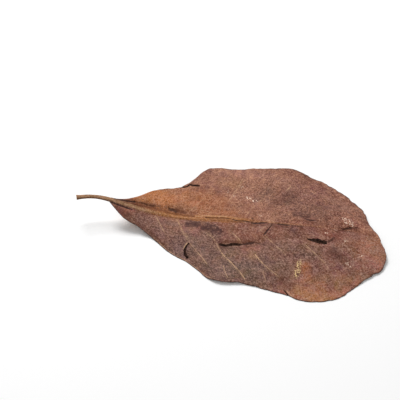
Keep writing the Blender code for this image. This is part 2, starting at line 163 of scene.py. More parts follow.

# Soft marks of painted shade in valleys, folds and beside the midrib, and plum patches of the leaf's own
# tone: points, half width, strength, which is above 0 for plum (both shade and patches) and below 0 for
# warm brown shade
SHADES = (
    (((3, 1.8), (10, 2.2), (18, 3.8), (28, 5), (36, 6), (45, 6.6)), 3.0, -0.9),
    (((45, 6.8), (54, 6.6), (63, 5.8)), 2.6, -0.7),
    (((4, -4), (10, -6.6), (18, -9.4)), 3.4, 0.55),
    (((20, 6.4), (28.2, 8), (37.7, 9.4)), 1.3, 0.5),
    (((39, 10), (46, 8.6), (56, 7.8)), 2.0, -0.9),
    (((56.5, -2.4), (61.6, -2.6), (66.2, -3), (68.6, -3.6)), 4.4, 1.0),
    (((68.6, -4.6), (72.1, -5), (77.4, -5.4), (82.2, -7.2), (86, -9)), 4.2, 1.0),
    (((84, -3), (90, -5), (96, -6)), 3.0, -0.4),
    (((36, -6), (42, -7), (47, -6.6)), 2.0, 0.35),
    (((74, 2.6), (90, 1.6), (100, 0.2)), 1.5, -0.45),
    (((100, -0.6), (106, -1.4), (114, -0.8), (122, -1), (134, -1.4)), 1.9, -0.6),
    (((105.3, 5.9), (106.5, 2.9), (106.4, 0)), 1.2, -0.7),
    (((138.6, 0), (142.5, -1), (141, -3)), 2.4, -0.75),
    (((87, -9.5), (98, -12), (110, -14)), 2.5, 0.3),
    (((84, -20.5), (94, -20.5), (102, -20), (111, -19), (120, -19)), 2.2, 0.35),
    (((84, -16.4), (92, -16.2), (100, -15.4), (108, -14)), 2.2, -0.75),
    (((102, -17.2), (106.3, -16), (109.7, -15.2), (114, -16)), 1.7, -0.9),
    (((116, -14), (122, -16), (128, -15)), 2.6, 0.4),
    (((120, -14), (130, -10.5), (140, -8.6), (147, -8.8)), 1.6, -0.45),
    (((134, -2.5), (137, -4.4), (140, -6)), 3.4, 0.6),
    (((144, 2.5), (150, 0), (156, -3)), 2.4, -0.3),
    (((145, 9.4), (149, 9.2), (153, 9)), 2.0, 0.6),
    (((158.4, 10), (160.4, 13.6), (162.4, 16.4)), 1.8, -0.6),
    (((127, 26), (131, 31), (130, 37)), 6.0, 0.5),
    (((108, 30), (114, 34), (118, 40)), 5.0, 0.25),
    (((134, 12), (142, 14), (148, 12)), 4.5, 0.8),
    (((150, 12), (156, 14), (162, 15)), 4.5, 0.3),
    (((163, -14), (170, -18), (173, -23)), 5.0, 0.55),
    (((176, -26), (180, -30), (184, -31)), 3.0, 0.4),
    (((163.9, -7.2), (167.2, -3.6), (170.6, 4.5)), 2.2, -0.6),
    (((18, -8.6), (27, -12), (33, -14.6), (41.5, -20.8), (48, -26.4)), 1.5, -0.45),
    (((129, -41), (136.7, -44.4), (142, -45.4)), 3.4, -0.6),
    (((36, 27.5), (44, 29.5), (47, 31)), 1.2, -0.4),
    (((166, 2), (171, 7.3), (175.2, 10.1), (184, 12.6)), 1.9, -0.8),
    (((146, 26), (154, 30), (160, 28)), 5.0, 0.4),
    (((136, 8), (150, 6), (162, 8)), 2.6, -0.4),
)

# Pale veins, and painted highlights on lit rims of the margin and of tear lips: points, half width,
# strength
PALE_VEINS_AND_LIT_RIMS = (
    (((33.6, -0.6), (35.6, -3.2), (40.8, -10.2), (43.7, -14.7)), 0.4, 0.5),
    (((49.5, 1), (51.1, -1.1), (53.7, -5.8)), 0.6, 0.5),
    (((53.7, -5.8), (57.3, -12)), 0.9, 0.45),
    (((57.3, -12), (60, -15), (62.4, -18.6)), 1.5, 0.32),
    (((62.9, -19.8), (66.4, -23.7), (70.4, -27.4)), 0.5, 0.3),
    (((70.4, -27.4), (75.6, -33), (79.5, -37.7)), 0.42, 0.6),
    (((73.7, -9.7), (79.3, -13.6), (82.3, -17)), 0.4, 0.5),
    (((82.3, -17), (84.5, -20.5), (86.4, -24)), 0.8, 0.35),
    (((86, -23.6), (88.4, -26.6), (91.4, -29.7), (96.6, -33.5), (101.6, -38.3)), 0.36, 1.0),
    (((101.6, -38.3), (105.8, -42.6), (108, -45.6)), 0.32, 0.8),
    (((90.8, -36.2), (92.9, -41.7), (96, -46.8)), 0.35, 0.6),
    (((88, -5), (92.6, -8.5)), 0.4, 0.2),
    (((92.6, -8.5), (98, -12.8), (100.6, -15.8)), 0.45, 0.65),
    (((101.5, -19), (107.2, -21.9), (111.7, -24.5)), 0.34, 0.25),
    (((111.4, -24.7), (114.3, -28.2), (118.8, -32.6)), 0.42, 0.9),
    (((118.8, -32.6), (122.3, -35), (126.9, -37.7), (131.5, -40.9)), 0.34, 0.6),
    (((119.2, -37), (120, -40), (122.2, -44.3)), 0.3, 0.6),
    (((125.7, -17.3), (130.4, -20.6), (134.3, -24.4)), 0.28, 0.6),
    (((144.6, -12.8), (150.5, -17.3), (155.8, -21.5)), 0.3, 0.7),
    (((155.8, -21.5), (161.2, -26), (164.3, -29.8)), 0.35, 0.45),
    (((86, 21), (88.5, 29.8), (90.6, 36.5), (93, 46.7)), 0.4, 0.45),
    (((127.2, 39.2), (130.4, 46.4)), 0.4, 0.7),
    (((58.9, 10), (63, 17), (68, 24)), 0.4, 0.35),
    (((88, 5.6), (95, 4.4), (100, 4)), 0.5, 0.35),
    (((62, 5.8), (70, 6.3), (78, 6), (88, 5.8)), 0.55, 0.5),
    (((100, 6), (104, 15), (110, 25)), 0.35, 0.3),
    (((56.4, 11.4), (62.5, 11.6), (67.8, 11.3), (75.1, 8.8)), 0.5, 0.35),
    (((112.4, -6.8), (115.3, -3.4), (117.6, -1.8)), 0.8, 0.4),
    (((115.2, 3.2), (119.5, 3.6), (122.6, 2.2)), 0.7, 0.4),
    (((116.9, -9.7), (120.9, -12.7), (125.7, -17.3)), 0.28, 0.5),
    (((60.1, -26.4), (60.8, -23.2), (62.4, -20.4)), 0.5, 0.8),
    (((36, -17.9), (43, -23), (48.1, -27), (55.7, -31.3)), 0.4, 0.4),
    (((55.7, -31.3), (63, -34.3), (69.2, -38.2), (74.7, -42)), 0.4, 0.45),
    (((74.7, -42), (80.3, -46.5), (85, -48.5)), 0.4, 0.3),
    (((145, -6.4), (151.5, -6.2), (156, -6.4), (160, -7)), 0.5, 0.2),
    (((136.4, -48.4), (138.4, -50.4), (141.2, -53.6)), 0.5, 0.5),
)

# Rags of the margin: share of its length, half length, depth; and the depth of its fine wear
RAGS = {
    -1: ((0.338, 2.4, 0.5), (0.505, 2.0, 0.5), (0.605, 2.4, 0.6), (0.705, 2.0, 0.5), (0.87, 2.2, 0.7)),
    1: ((0.405, 4.0, 0.6), (0.662, 2.4, 0.7), (0.72, 1.8, 0.6), (0.81, 2.2, 0.7), (0.872, 1.7, 0.7)),
}
RAG = 0.4

# Mesh counts: rows from vein to vein and along the stalk, steps over the midrib, columns of each half
ROWS_PER_VEIN = 22
STALK_ROWS = 40
RIB_STEPS = 10
BLADE_COLUMNS = 76

# Relief of the fine surface
VEIN_WOBBLE = 0.9
VEIN_DEPTH = 0.55
VEIN_RISE = 0.1
VEIN_HALF = 0.75
CRUMPLE = 0.42
CRUMPLE_SIZE = 8.5
RIDGE_SIZE = 13.0
PUCKER = 0.2
PUCKER_SIZE = 5.2
CURL = 0.35
CURL_COUNT = 60
CRACK_DEPTH = 0.35
CRACK_SPREAD = 1.3
PALE_RISE = 0.1
LIP_REACH = 2.6

# Lengths from midrib to margin below which the margin's wear and the waves fade out
WEAR_RUN = 12
WAVE_RUN = 40

# Sheet: least upright share that counts, share of it that a crack can sink, reach of the settling
LEAST_UPRIGHT = 0.6
DEEPEST = 0.35
SETTLING = 0.5

# Tear cutters: stretches along them, skin of the sheet left under them, and how far they stand over it
TEAR_STEPS = 18
SKIN = 0.12
STAND = 0.55

# Spans of the maps that the finishes read
LINE_SPAN = 3.0
RIB_SPAN = 10.0
REACH_SPAN = 100.0

# What the maps keep: the midrib's part of the way across the blade, the widest distance to a vein, the
# distance to the margin on the midrib, and that distance's share of the way left along a side vein
RIB_ACROSS = 0.02
VEIN_REACH = 4.5
MARGIN_FAR = 50.0
MARGIN_LEAN = 0.85

# Camera, from the photograph's viewing angle
CAMERA_TURN = 10.16
CAMERA_DROP = 45.0
CAMERA_REACH = 0.6
CAMERA_LENS = 70.0
SENSOR = 36.0
AIM = (62.6, 28.0)


def mesh_from(body, name):
    mesh = bpy.data.meshes.new(name)
    body.to_mesh(mesh)
    body.free()
    return mesh


def show(name, data):
    made = bpy.data.objects.new(name, data)
    bpy.context.scene.collection.objects.link(made)
    return made


def table(pairs, x):
    return np.interp(x, [p[0] for p in pairs], [p[1] for p in pairs])


def chords(points):
    # The points, the lengths between them and the distance along to each
    p = np.array(points, float)
    chord = np.linalg.norm(np.diff(p[:, :2], axis=0), axis=1)
    return p, chord, np.concatenate(([0.0], np.cumsum(chord)))


def curve(points, share):
    # Smooth curve through the points, share 0 to 1 of its length
    p, chord, d = chords(points)
    slope = np.diff(p, axis=0) / chord[:, None]
    mix = (chord[:-1] / (chord[:-1] + chord[1:]))[:, None]
    inner = slope[:-1] * (1 - mix) + slope[1:] * mix
    tangent = np.vstack((slope[:1], inner, slope[-1:]))
    at = np.clip(share, 0, 1) * d[-1]
    k = np.clip(np.searchsorted(d, at, side="right") - 1, 0, len(chord) - 1)
    h = chord[k]
    u = ((at - d[k]) / h)[..., None]
    h = h[..., None]
    a = (1 + 2 * u) * (1 - u) ** 2 * p[k] + u * (1 - u) ** 2 * h * tangent[k]
    b = u * u * (3 - 2 * u) * p[k + 1] + u * u * (u - 1) * h * tangent[k + 1]
    return a + b


def curve_length(points):
    return chords(points)[1].sum()


def curve_share(points, x):
    # Share of the curve's length at which it reaches x
    p, _, d = chords(points)
    share = np.interp(x, p[:, 0], d / d[-1])
    step = 1e-4
    for _ in range(12):
        here = curve(points, share)[..., 0]
        rate = (curve(points, share + step)[..., 0] - here) / step
        share = np.clip(share + (x - here) / np.maximum(rate, 20.0), 0, 1 - step)
    return share


def midrib_at(share):
    # Points of the midrib and its direction over the table there
    ahead = curve(MIDRIB, share + 0.01) - curve(MIDRIB, share - 0.01)
    return curve(MIDRIB, share), ahead / np.hypot(ahead[..., 0], ahead[..., 1])[..., None]


def line_field(points, x, y):
    # Signed distance to an open line, and the distance along it from its nearer end, below 0 past the ends
    best = np.full(np.shape(x), 1e9)
    signed = np.zeros(np.shape(x))
    inside = np.full(np.shape(x), -1.0)
    total = curve_length(points)
    run = 0.0
    last = len(points) - 2
    for k, ((ax, ay), (bx, by)) in enumerate(zip(points[:-1], points[1:])):
        dx = bx - ax
        dy = by - ay
        length = math.hypot(dx, dy)
        free = ((x - ax) * dx + (y - ay) * dy) / (length * length)
        u = np.clip(free, 0, 1)
        ex = x - ax - u * dx
        ey = y - ay - u * dy
        d = np.hypot(ex, ey)
        nearer = d < best
        best = np.where(nearer, d, best)
        signed = np.where(nearer, np.where(dx * ey - dy * ex < 0, -d, d), signed)
        low = free if k == 0 else u
        low = np.where(low > 1, free if k == last else 1, low)
        along = run + low * length
        inside = np.where(nearer, np.minimum(along, total - along), inside)
        run += length
    return signed, inside


def smooth(low, high, value):
    t = np.clip((value - low) / (high - low), 0, 1)
    return t * t * (3 - 2 * t)


def bell(away, width):
    return np.exp(-(away / width) ** 2)


def surface(grid):
    # Steps across the middle surface from column to column, and its normal
    along = np.gradient(grid, axis=0)
    across = np.gradient(grid, axis=1)
    return across, np.cross(along, across)


def rough(x, y, scale, seed):
    # Soft noise from -1 to 1 with features of the given size
    x, y = np.broadcast_arrays(x, y)
    flat = [noise.noise((a / scale, b / scale, seed)) for a, b in zip(x.ravel(), y.ravel())]
    return np.array(flat).reshape(x.shape)


def line_map(lines, x, y):
    # Signed distance to the nearest of the lines in half widths, and how strongly it is drawn
    best = np.full(np.shape(x), LINE_SPAN)
    strength = np.zeros(np.shape(x))
    for points, half, weight in lines:
        signed, inside = line_field(points, x, y)
        ratio = signed / half
        nearer = np.abs(ratio) < np.abs(best)
        best = np.where(nearer, ratio, best)
        strength = np.where(nearer, weight * smooth(-0.5, 1.5, inside), strength)
    return best, strength


def worn_inward(side, share):
    # How far the margin is worn in from its clean outline
    length = curve_length(EDGE[side])
    along = share * length
    wear = RAG * (rough(along, 0, 3.1, 4.0 + side) + 0.8 * rough(along, 0, 8.0, 9.0 + side))
    wear = np.maximum(wear + 0.12, 0)
    for at, half, depth in RAGS[side]:
        wear = wear + depth * np.exp(-((np.abs(along - at * length) / half) ** 4))
    return wear


def half_blade(side, number, u):
    # One half of the blade by vein number and by u from the midrib to the margin
    x = np.interp(number, range(len(VEIN_STATIONS)), VEIN_STATIONS)
    along = x / BLADE_LENGTH
    rib, ahead = midrib_at(curve_share(MIDRIB, x))
    reach = table(RIB_HALF, x)
    sx = rib[..., 0] - side * ahead[..., 1] * reach
    sy = rib[..., 1] + side * ahead[..., 0] * reach
    edge_share = TIP_SHARE * (1 - (1 - along) ** FAN[side])
    edge = curve(EDGE[side], edge_share)
    run = np.hypot(edge[..., 0] - sx, edge[..., 1] - sy)
    bow = -SPRING[side] * run * (1 - 1.5 * along ** 8)
    keep = 1 - worn_inward(side, edge_share) * np.clip(run / WEAR_RUN, 0, 1) / np.maximum(run, 3)
    t = u * keep
    hump = 4 * t * (1 - t)
    px = sx + (edge[..., 0] - sx) * t + bow * hump
    py = sy + (edge[..., 1] - sy) * t
    belly = table(BELLY[side], x)
    phase = number if side < 0 else number + BACK_SHIFT
    wide = np.clip(run / WAVE_RUN, 0, 1)
    pz = rib[..., 2] + (edge[..., 2] - rib[..., 2]) * t + belly * hump
    pz = pz + QUILT * wide * np.abs(np.sin(math.pi * phase)) * hump
    pz = pz + WAVE * wide * t ** WAVE_REACH * np.sin(math.pi * phase + 0.9 * np.sin(1.7 * number))
    for points, depth, width in FOLDS:
        pz = pz - depth * bell(line_field(points, px, py)[0], width)
    for x0, y0, height, radius in BUMPS:
        pz = pz + height * np.exp(-((px - x0) ** 2 + (py - y0) ** 2) / radius ** 2) * (1 - (1 - t) ** 4)
    # The fine surface: wandering veins, crumple, puckers between the veins, curled and lifted places
    free = hump * wide
    px = px + VEIN_WOBBLE * free * rough(number * 1.1, 4.0 * t + side * 7, 1.0, 2.0)
    inner = smooth(0, 0.12, t)
    pz = pz + CRUMPLE * inner * wide * rough(px, py, CRUMPLE_SIZE, 11.0)
    ridged = 1 - np.abs(rough(px, py, RIDGE_SIZE, 21.0)) * 3.2
    pz = pz + 0.5 * CRUMPLE * inner * wide * np.clip(ridged, 0, 1)
    pz = pz + PUCKER * inner * wide * rough(number * 2.6, t * run / PUCKER_SIZE + side * 9, 1.0, 31.0)
    pz = pz + CURL * wide * smooth(0.9, 1.0, t) * rough(edge_share * CURL_COUNT, side * 3, 1.0, 41.0)
    return px, py, pz, run * keep


def lip_steps(x, y):
    # The two lips of each tear part in height: the left lip up, the right lip down
    step = np.zeros(np.shape(x))
    for points, _, part, _ in TEARS:
        signed, inside = line_field(points, x, y)
        lift = 0.5 * part * smooth(0, 4, inside)
        step = step + lift * np.where(signed > 0, 1, -1) * np.exp(-np.abs(signed) / LIP_REACH)
    return step


def line_relief(x, y):
    # Cracks sunk in and pale veins raised
    away, strength = line_map(CRACKS_AND_CREASE_SHADE, x, y)
    relief = -CRACK_DEPTH * strength * bell(away, CRACK_SPREAD)
    away, strength = line_map(PALE_VEINS_AND_LIT_RIMS, x, y)
    return relief + PALE_RISE * strength * bell(away, 1.0)


def leaf_grid():
    # Middle surface by row and column, its rise and depth, and what the finishes read
    stalk_x = np.linspace(MIDRIB[0][0], 0, STALK_ROWS, endpoint=False)
    numbers = np.arange((len(VEIN_STATIONS) - 1) * ROWS_PER_VEIN + 1) / ROWS_PER_VEIN
    blade_x = np.interp(numbers, range(len(VEIN_STATIONS)), VEIN_STATIONS)
    x = np.concatenate((stalk_x, blade_x))
    number = np.concatenate((np.zeros(STALK_ROWS), numbers))
    share = curve_share(MIDRIB, x)
    share[0] = 0.0
    rib, ahead = midrib_at(share)
    turns = np.radians(np.linspace(-90, 90, RIB_STEPS + 1))
    rows = len(x)
    columns = 2 * BLADE_COLUMNS + RIB_STEPS + 1
    grid = np.zeros((rows, columns, 3))
    rise, depth, from_rib, across = np.zeros((4, rows, columns))
    from_margin = np.full((rows, columns), MARGIN_FAR)
    half_width = table(RIB_HALF, x)
    for k, turn in enumerate(turns):
        j = BLADE_COLUMNS + k
        offset = math.sin(turn) * half_width
        grid[:, j, 0] = rib[:, 0] - ahead[:, 1] * offset
        grid[:, j, 1] = rib[:, 1] + ahead[:, 0] * offset
        grid[:, j, 2] = rib[:, 2]
        rise[:, j] = max(math.cos(turn), 0.0) ** 0.7 * table(RIB_RISE, x)
        depth[:, j] = math.cos(turn) * table(RIB_DEPTH, x)
        from_rib[:, j] = offset
        across[:, j] = math.sin(turn) * RIB_ACROSS
    u = np.arange(1, BLADE_COLUMNS + 1)[None, :] / BLADE_COLUMNS
    for side in (-1, 1):
        px, py, pz, run = half_blade(side, number[:, None], u)
        wanted = [BLADE_COLUMNS - k if side < 0 else columns - 1 - BLADE_COLUMNS + k
                  for k in range(1, BLADE_COLUMNS + 1)]
        grid[:, wanted] = np.stack((px, py, pz), axis=-1)
        from_rib[:, wanted] = side * (half_width[:, None] + run * u)
        from_margin[:, wanted] = run * (1 - u) * MARGIN_LEAN
        across[:, wanted] = side * (RIB_ACROSS + (1 - RIB_ACROSS) * u)
    grid[..., 2] += lip_steps(grid[..., 0], grid[..., 1])
    # Distance to the nearest side vein, which runs along a row
    across_step, normal = surface(grid)
    row_gap = np.linalg.norm(normal, axis=-1) / np.maximum(np.linalg.norm(across_step, axis=-1), 1e-6)
    index = np.arange(rows)[:, None] - STALK_ROWS - np.where(across > 0, BACK_SHIFT * ROWS_PER_VEIN, 0)
    offset = (index + ROWS_PER_VEIN / 2) % ROWS_PER_VEIN - ROWS_PER_VEIN / 2
    from_vein = offset * row_gap
    count = (index - offset) / ROWS_PER_VEIN
    real = (count >= 0.4) & (count < len(VEIN_STATIONS) - 1.2) & (np.abs(across) > RIB_ACROSS)
    from_vein = np.where(real, np.clip(from_vein, -VEIN_REACH, VEIN_REACH), VEIN_REACH)
    fade = np.clip(1 - np.abs(across), 0, 1) ** 0.5
    ridge = np.where(real, bell(from_vein, VEIN_HALF) * fade, 0)
    depth += VEIN_DEPTH * ridge
    rise += VEIN_RISE * ridge
    rise += line_relief(grid[..., 0], grid[..., 1])
    return grid, rise, depth, x, number, across, from_rib, from_margin, from_vein, half_width


def sheet_faces(grid, rise, depth):
    # Heights of the upper face, the lower face, and the lower face without its vein ridges:
    # pressed flat where the solid is, then thinned to a real leaf's sheet
    _, normal = surface(grid)
    upright = np.abs(normal[..., 2]) / np.maximum(np.linalg.norm(normal, axis=-1), 1e-9)
    upright = np.clip(upright, LEAST_UPRIGHT, 1.0)
    upright[:STALK_ROWS] = 1.0
    solid_half = 0.5 * SOLID_SHEET / upright
    half = np.where(np.arange(len(grid))[:, None] < STALK_ROWS, solid_half, 0.5 * SHEET / upright)
    solid_low = grid[..., 2] - solid_half - depth
    lifted = np.maximum(solid_low - PRESS, 0)
    middle = grid[..., 2] + (lifted - solid_low)
    settle = (solid_half - half) * np.exp(-lifted / SETTLING)
    middle = middle - settle
    high = middle + half + np.maximum(rise, -DEEPEST * SHEET)
    return high, np.maximum(middle - half - depth, 0), np.maximum(middle - half, 0)


def leaf_mesh():
    grid, rise, depth, x, number, across, from_rib, from_margin, from_vein, half_width = leaf_grid()
    high, low, plain = sheet_faces(grid, rise, depth)
    rows, columns = high.shape
    body = bmesh.new()
    bmesh.ops.create_grid(body, x_segments=rows - 1, y_segments=columns - 1, size=1.0)
    row_layer = body.verts.layers.int.new("row")
    column_layer = body.verts.layers.int.new("column")
    for vert in body.verts:
        i = round((vert.co.x + 1) / 2 * (rows - 1))
        j = round((vert.co.y + 1) / 2 * (columns - 1))
        vert[row_layer] = i
        vert[column_layer] = j
        vert.co = grid[i, j] * MM
    # The stalk keeps only the columns of the midrib
    spare = []
    for face in body.faces:
        first_row = min(v[row_layer] for v in face.verts)
        low_column = min(v[column_layer] for v in face.verts)
        beside = low_column < BLADE_COLUMNS or low_column >= columns - 1 - BLADE_COLUMNS
        if first_row < STALK_ROWS and beside:
            spare.append(face)
    bmesh.ops.delete(body, geom=spare, context="FACES")
    bmesh.ops.triangulate(body, faces=body.faces[:], quad_method="SHORT_EDGE")
    lifted = bmesh.ops.extrude_face_region(body, geom=body.faces[:])
    upper = {g for g in lifted["geom"] if isinstance(g, bmesh.types.BMVert)}
    for vert in body.verts:
        i = vert[row_layer]
        j = vert[column_layer]
        vert.co.z = (high[i, j] if vert in upper else low[i, j]) * MM
    for face in body.faces:
        inside = sum(1 for v in face.verts if v in upper)
        face.material_index = 0 if inside == len(face.verts) else 1 if inside == 0 else 2
        face.smooth = True
    bmesh.ops.recalc_face_normals(body, faces=body.faces[:])
    mesh = mesh_from(body, "dried_leaf")

    ratio = np.clip(from_rib / half_width[:, None], -RIB_SPAN / 2, RIB_SPAN / 2)
    length_number = np.where(x < 0, x / 20, number)[:, None] + np.zeros(high.shape)
    maps = {
        "veins": (length_number / (len(VEIN_STATIONS) - 1), 0.5 + 0.5 * across),
        "reach": (from_margin / REACH_SPAN, 0.5 + from_rib / (2 * REACH_SPAN)),
        "ribs": (0.5 + ratio / RIB_SPAN, 0.5 + from_vein / RIB_SPAN),
    }
    for name, lines in (("cracks_and_crease_shade", CRACKS_AND_CREASE_SHADE), ("shades", SHADES), ("pale_veins_and_lit_rims", PALE_VEINS_AND_LIT_RIMS)):
        away, strength = line_map(lines, grid[..., 0], grid[..., 1])
        maps[name] = (away / LINE_SPAN, strength)
    row_of = np.zeros(len(mesh.vertices), int)
    column_of = np.zeros(len(mesh.vertices), int)
    mesh.attributes["row"].data.foreach_get("value", row_of)
    mesh.attributes["column"].data.foreach_get("value", column_of)
    corner = np.zeros(len(mesh.loops), int)
    mesh.loops.foreach_get("vertex_index", corner)
    for name, (first, second) in maps.items():
        layer = mesh.uv_layers.new(name=name)
        values = np.stack((first[row_of, column_of][corner], second[row_of, column_of][corner]), axis=1)
        layer.uv.foreach_set("vector", values.ravel().astype(np.float32))
    mesh.attributes.remove(mesh.attributes["row"])
    mesh.attributes.remove(mesh.attributes["column"])
    return mesh, grid, high, plain


def tear_wedge(body, tear, grid, high, plain):
    # Ribbon along a tear, narrower at its foot, which leaves a thin skin of the sheet under it;
    # its top stands clear of the sheet
    points, widths, _, left = tear
    share = np.linspace(0, 1, TEAR_STEPS + 1)
    p = curve(points, share)[:, :2]
    width = np.interp(share, (0, 0.5, 1), widths) * (1 + 0.5 * rough(p[:, 0], p[:, 1], 1.6, 51.0))
    heading = np.gradient(p, axis=0)
    heading = heading / np.linalg.norm(heading, axis=1)[:, None]
    sideways = np.stack((-heading[:, 1], heading[:, 0]), axis=1)
    foot = bmesh.ops.create_grid(body, x_segments=TEAR_STEPS, y_segments=4, size=1.0)["verts"]
    faces = dict.fromkeys(f for v in foot for f in v.link_faces)
    top = bmesh.ops.extrude_face_region(body, geom=list(faces))
    lifted = [g for g in top["geom"] if isinstance(g, bmesh.types.BMVert)]
    flare = left + (1 - left) * (1 + STAND / (SHEET - SKIN))
    for vert in foot + lifted:
        k = round((vert.co.x + 1) / 2 * TEAR_STEPS)
        side = round(2 * vert.co.y) / 2
        above = vert in lifted
        spot = p[k] + sideways[k] * side * width[k] / 2 * (flare if above else left)
        away = np.hypot(grid[..., 0] - spot[0], grid[..., 1] - spot[1])
        near = away < away.min() + 0.6
        weight = 1 / (away[near] ** 2 + 0.001)
        z = (weight * (high if above else plain)[near]).sum() / weight.sum() + (STAND if above else SKIN)
        vert.co = (spot[0] * MM, spot[1] * MM, z * MM)


def cut_tears(leaf, grid, high, plain):
    body = bmesh.new()
    for tear in TEARS:
        tear_wedge(body, tear, grid, high, plain)
    bmesh.ops.triangulate(body, faces=body.faces[:])
    bmesh.ops.recalc_face_normals(body, faces=body.faces[:])
    mesh = mesh_from(body, "tears")
    for mat in leaf.data.materials:
        mesh.materials.append(mat)
    mesh.polygons.foreach_set("material_index", [2] * len(mesh.polygons))
    cutter = show("tears", mesh)
    cut = leaf.modifiers.new("tears", "BOOLEAN")
    cut.operation = "DIFFERENCE"
    cut.solver = "EXACT"
    cut.object = cutter
    bpy.context.view_layer.update()
    torn = bpy.data.meshes.new_from_object(leaf.evaluated_get(bpy.context.evaluated_depsgraph_get()))
    leaf.modifiers.clear()
    whole = leaf.data
    leaf.data = torn
    bpy.data.meshes.remove(whole)
    bpy.data.objects.remove(cutter, do_unlink=True)
    torn.name = "dried_leaf"


# Finishes

def tone(red, green, blue):
    # Colour from screen values 0 to 255
    linear = [((c / 255 + 0.055) / 1.055) ** 2.4 if c > 10 else c / 255 / 12.92 for c in (red, green, blue)]
    return (*linear, 1.0)


SHARED = {}


class Nodes:
    # Short ways to add nodes to one tree
    def __init__(self, tree):
        self.tree = tree

    def feed(self, socket, value):
        # A link from another node, or a plain value
        if isinstance(value, bpy.types.NodeSocket):
            self.tree.links.new(value, socket)
        else:
            socket.default_value = value

    def add(self, kind, inputs=None, **settings):
        made = self.tree.nodes.new(kind)
        for name, value in settings.items():
            setattr(made, name, value)
        for key, value in (inputs or {}).items():
            self.feed(made.inputs[key], value)
        return made

    def math(self, operation, a, b=0.0, c=0.0):
        return self.add("ShaderNodeMath", {0: a, 1: b, 2: c}, operation=operation).outputs[0]

    def times(self, a, b):
        return self.math("MULTIPLY", a, b)

    def times_plus(self, a, b, c):
        return self.math("MULTIPLY_ADD", a, b, c)

    def from_middle(self, value, span):
        # How far a map's value is from the middle, 0.5, in units of its span
        return self.math("ABSOLUTE", self.times(self.math("SUBTRACT", value, 0.5), span))

    def vector(self, operation, a, b):
        return self.add("ShaderNodeVectorMath", {0: a, 1: b}, operation=operation).outputs[0]

    def range(self, value, low, high, first=0.0, last=1.0):
        inputs = {0: value, 1: low, 2: high, 3: first, 4: last}
        return self.add("ShaderNodeMapRange", inputs, interpolation_type="SMOOTHSTEP").outputs[0]

    def fall(self, value, low, high):
        # 1 up to the low value, falling to 0 at the high one
        return self.range(value, low, high, 1.0, 0.0)

    def mix(self, mask, first, second, blend="MIX"):
        inputs = {0: mask, 6: first, 7: second}
        return self.add("ShaderNodeMix", inputs, data_type="RGBA", blend_type=blend).outputs[2]

    def paint(self, colour, mask, amount, shade):
        # The colour covered with a shade where the mask says, by some amount
        return self.mix(self.times(mask, amount), colour, tone(*shade))

    def noise(self, position, scale, detail=2.0, rough=0.5, warp=0.0):
        inputs = {"Vector": position, "Scale": scale, "Detail": detail, "Roughness": rough}
        return self.add("ShaderNodeTexNoise", {**inputs, "Distortion": warp}).outputs[0]

    def rims(self, position, scale):
        # Distance to the rims of small cells
        inputs = {"Vector": position, "Scale": scale}
        return self.add("ShaderNodeTexVoronoi", inputs, feature="DISTANCE_TO_EDGE").outputs["Distance"]

    def split(self, vector):
        return self.add("ShaderNodeSeparateXYZ", {0: vector}).outputs

    def join(self, x, y, z=0.0):
        return self.add("ShaderNodeCombineXYZ", {0: x, 1: y, 2: z}).outputs[0]

    def uv(self, name):
        return self.add("ShaderNodeUVMap", uv_map=name).outputs[0]

    def map(self, name):
        return self.split(self.uv(name))

    def group(self, name, inputs):
        return self.add("ShaderNodeGroup", inputs, node_tree=SHARED[name]).outputs


def new_group(name, inputs, outputs):
    shared = bpy.data.node_groups.new(name, "ShaderNodeTree")
    for way, sockets in (("INPUT", inputs), ("OUTPUT", outputs)):
        for title, kind in sockets:
            shared.interface.new_socket(title, in_out=way, socket_type="NodeSocket" + kind)
    build = Nodes(shared)
    return shared, build, build.add("NodeGroupInput").outputs, build.add("NodeGroupOutput").inputs


def soft_patch_group():
    # 1 at a centre, falling to 0 at an elliptic rim
    shared, build, given, result = new_group(
        "soft patch",
        (("Position", "Vector"), ("Centre", "Vector"), ("Radius", "Vector"), ("Softness", "Float")),
        (("Mask", "Float"),),
    )
    away = build.vector("SUBTRACT", given["Position"], given["Centre"])
    scaled = build.vector("DIVIDE", away, given["Radius"])
    length = build.add("ShaderNodeVectorMath", {0: scaled}, operation="LENGTH").outputs["Value"]
    inner = build.math("SUBTRACT", 1.0, given["Softness"])
    build.feed(result["Mask"], build.fall(length, inner, 1.0))
    return shared


def drawn_line_group():
    # Mask of a drawn line from its map of signed distance in half widths and strength, with a ragged rim
    shared, build, given, result = new_group(
        "drawn line",
        (("Map", "Vector"), ("Position", "Vector"), ("Rag", "Float"), ("Core", "Float")),
        (("Mask", "Float"),),
    )
    parts = build.split(given["Map"])
    away = build.math("ABSOLUTE", build.times(parts[0], LINE_SPAN))
    bite = build.math("SUBTRACT", build.noise(given["Position"], 420.0, 3.0, 0.65), 0.5)
    away = build.times_plus(bite, given["Rag"], away)
    mask = build.fall(away, given["Core"], 1.25)
    build.feed(result["Mask"], build.times(mask, parts[1]))
    return shared


def vein_net_group():
    # Side veins, and the ladder and the fine net between them
    shared, build, given, result = new_group(
        "vein net",
        (("Position", "Vector"), ("Vein Width", "Float"), ("Net Width", "Float")),
        (("Side Veins", "Float"), ("Ladder", "Float"), ("Fine Net", "Float")),
    )
    veins = build.map("veins")
    apart = build.from_middle(build.map("ribs")[1], RIB_SPAN)
    across = build.from_middle(veins[1], 2.0)
    width = build.times(given["Vein Width"], build.range(across, 0.0, 1.0, 1.2, 0.45))
    build.feed(result["Side Veins"], build.fall(apart, build.times(width, 0.35), width))
    push = build.add("ShaderNodeTexNoise", {"Vector": given["Position"], "Scale": 120.0}).outputs[1]
    bent = build.vector("ADD", build.join(build.times(veins[0], 30.0), build.times(veins[1], 24.0)), push)
    rungs = build.fall(build.rims(bent, 1.0), 0.0, given["Net Width"])
    build.feed(result["Ladder"], rungs)
    build.feed(result["Fine Net"], build.fall(build.rims(given["Position"], 340.0), 0.0, 0.13))
    return shared


